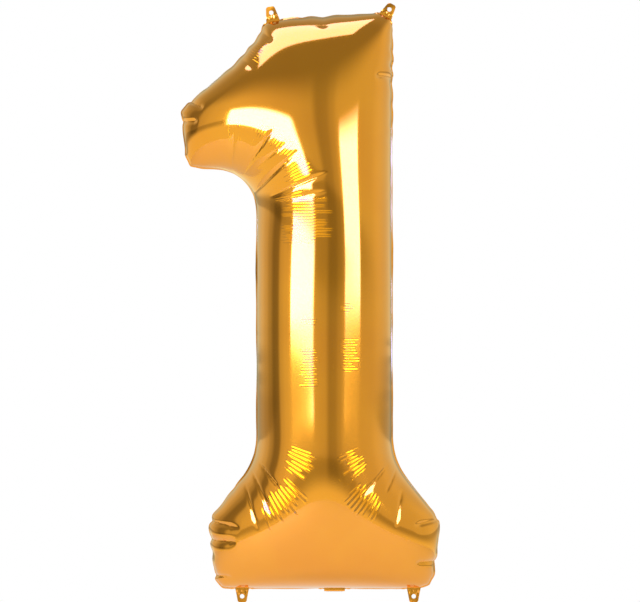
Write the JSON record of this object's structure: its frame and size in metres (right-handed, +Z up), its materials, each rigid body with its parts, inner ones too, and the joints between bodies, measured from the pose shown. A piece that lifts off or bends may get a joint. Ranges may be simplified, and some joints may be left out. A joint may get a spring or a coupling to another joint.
{
  "type": "foil number balloon",
  "caption": "Gold foil balloon shaped as the numeral one, with punched tabs on its sealed edge for hanging or weights and a folded self-sealing filling tail under the foot.",
  "frame": {"origin": "middle of the line through the two top tab holes, on the plane of the seam", "axes": "+X to the right of a person facing the balloon, +Y from its front to its back, +Z up"},
  "size_m": [0.3746, 0.214, 0.8669],
  "materials": {
    "foil": "polished",
    "valve_film": "satin"
  },
  "bodies": {
    "envelope": {"front_panel": "foil", "back_panel": "foil", "valve_inner_front_ply": "valve_film", "valve_inner_back_ply": "valve_film"},
    "hanging_tab_left": {"hanging_tab_left_front_ply": "foil", "hanging_tab_left_back_ply": "foil"},
    "hanging_tab_right": {"hanging_tab_right_front_ply": "foil", "hanging_tab_right_back_ply": "foil"},
    "weight_tab_left": {"weight_tab_left_front_ply": "foil", "weight_tab_left_back_ply": "foil"},
    "weight_tab_right": {"weight_tab_right_front_ply": "foil", "weight_tab_right_back_ply": "foil"},
    "filling_tail": {"filling_tail_front_ply": "foil", "filling_tail_back_ply": "foil", "valve_outer_front_ply": "valve_film", "valve_outer_back_ply": "valve_film"}
  },
  "joints": [
    {"name": "hanging_tab_left_bend", "type": "hinge", "parent": "envelope", "child": "hanging_tab_left", "pos_m": [-0.08374, 0, -0.01031], "axis": [0.9781, 0, 0.2079], "range_deg": [-90, 90], "stiffness_Nm_per_rad": 0.0002},
    {"name": "hanging_tab_right_bend", "type": "hinge", "parent": "envelope", "child": "hanging_tab_right", "pos_m": [0.08141, 0, -0.00444], "axis": [0.866, 0, -0.5], "range_deg": [-90, 90], "stiffness_Nm_per_rad": 0.0002},
    {"name": "weight_tab_left_bend", "type": "hinge", "parent": "envelope", "child": "weight_tab_left", "pos_m": [-0.12749, 0, -0.83768], "axis": [-1, 0, 0], "range_deg": [-90, 90], "stiffness_Nm_per_rad": 0.0002},
    {"name": "weight_tab_right_bend", "type": "hinge", "parent": "envelope", "child": "weight_tab_right", "pos_m": [0.12051, 0, -0.83768], "axis": [-1, 0, 0], "range_deg": [-90, 90], "stiffness_Nm_per_rad": 0.0002},
    {"name": "filling_tail_fold", "type": "hinge", "parent": "envelope", "child": "filling_tail", "pos_m": [0.00601, 0, -0.83808], "axis": [-1, 0, 0], "range_deg": [0, 180]}
  ]
}
